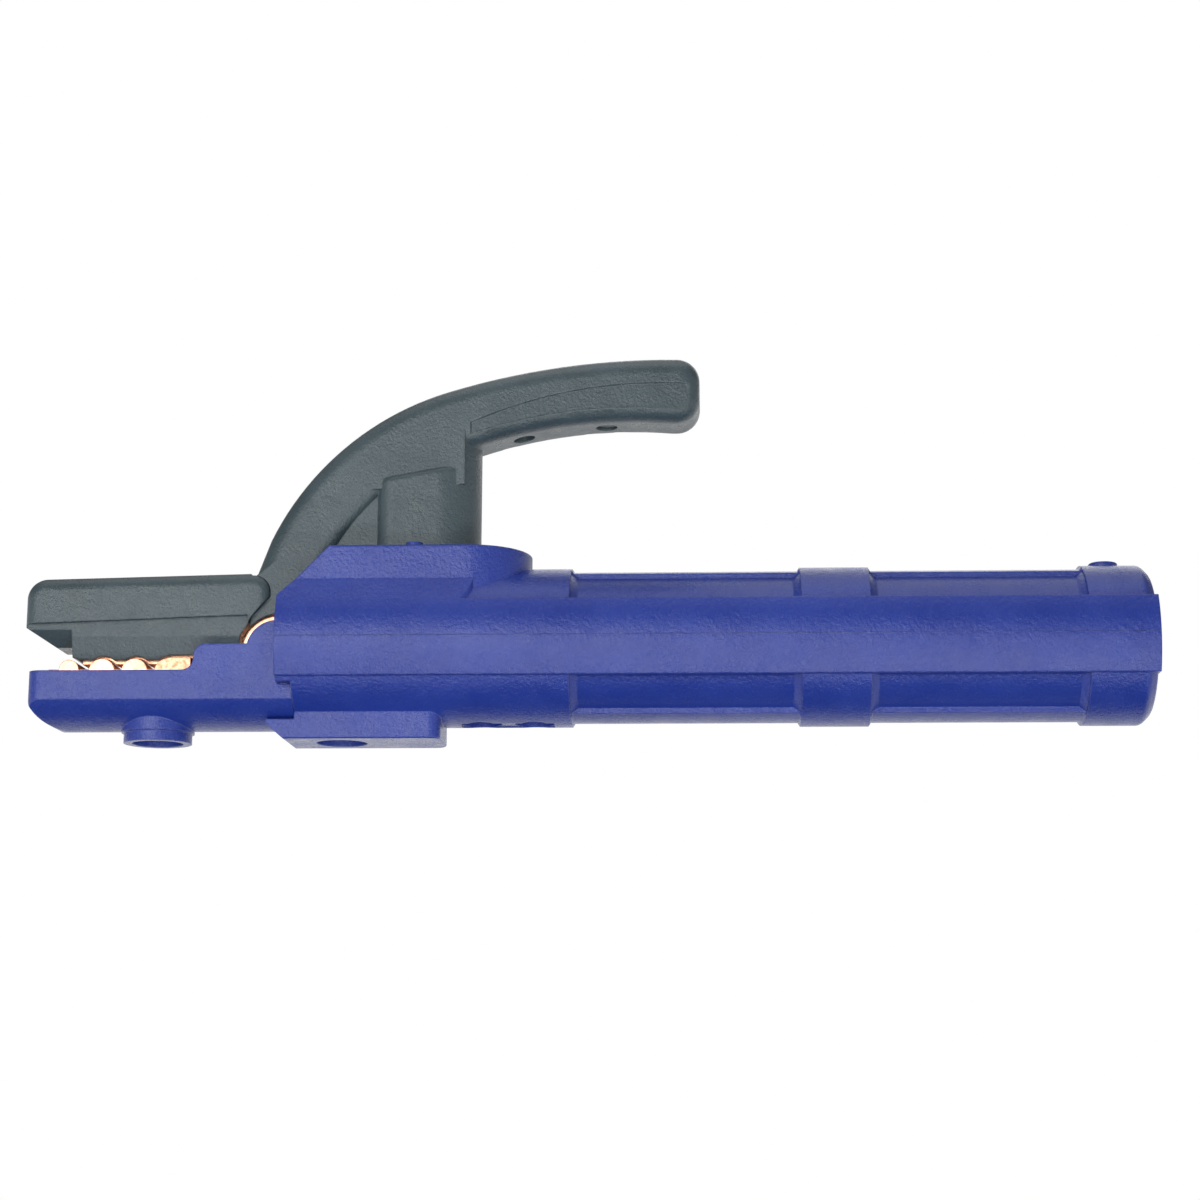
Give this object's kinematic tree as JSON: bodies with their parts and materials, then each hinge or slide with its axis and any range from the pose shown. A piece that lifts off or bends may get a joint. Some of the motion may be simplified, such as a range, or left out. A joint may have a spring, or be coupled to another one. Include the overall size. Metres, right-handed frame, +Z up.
{
  "type": "welding electrode holder",
  "caption": "Hand-held stick welding electrode holder: sprung lever over toothed copper jaws, insulated jaw covers, and a ribbed tubular handle that takes the cable.",
  "frame": {"origin": "centre of the cable mouth at the rear end of the handle, on the handle's axis", "axes": "+X rearwards along the handle and out of the cable mouth, jaws at -X; +Z up, on the lever's side; +Y across, the XZ plane is the plane of symmetry"},
  "size_m": [0.2402, 0.0356, 0.0836],
  "materials": {
    "blue_plastic": "moulded, satin",
    "grey_plastic": "moulded, satin",
    "copper_alloy": "cast and machined",
    "brass": "machined",
    "steel": "zinc plated",
    "spring_steel": "drawn wire",
    "nylon": "moulded"
  },
  "bodies": {
    "holder": {"handle": "blue_plastic", "lower_jaw_insulator": "blue_plastic", "conductor_body": "copper_alloy", "lower_jaw_screw": "steel", "lower_jaw_washer": "steel", "handle_screw": "steel", "clamp_screws": "steel", "cable_sleeve": "copper_alloy", "cable_lock_screw": "blue_plastic", "pivot_pin": "steel", "pivot_washers": "brass", "spring_seat": "nylon", "spring": "spring_steel"},
    "lever": {"lever_core": "copper_alloy", "lever_insulator": "grey_plastic", "upper_jaw_insulator": "grey_plastic", "upper_jaw_screw": "steel", "upper_jaw_washer": "steel", "spring_cap": "nylon", "grip_screw": "steel", "grip_plug": "grey_plastic"}
  },
  "joints": [
    {"name": "lever_hinge", "type": "hinge", "parent": "holder", "child": "lever", "pos_m": [-0.185, 0, -0.002], "axis": [0, 1, 0], "range_deg": [0, 15], "stiffness_Nm_per_rad": 8, "springref_deg": -28.65, "deforming": ["spring"]}
  ]
}
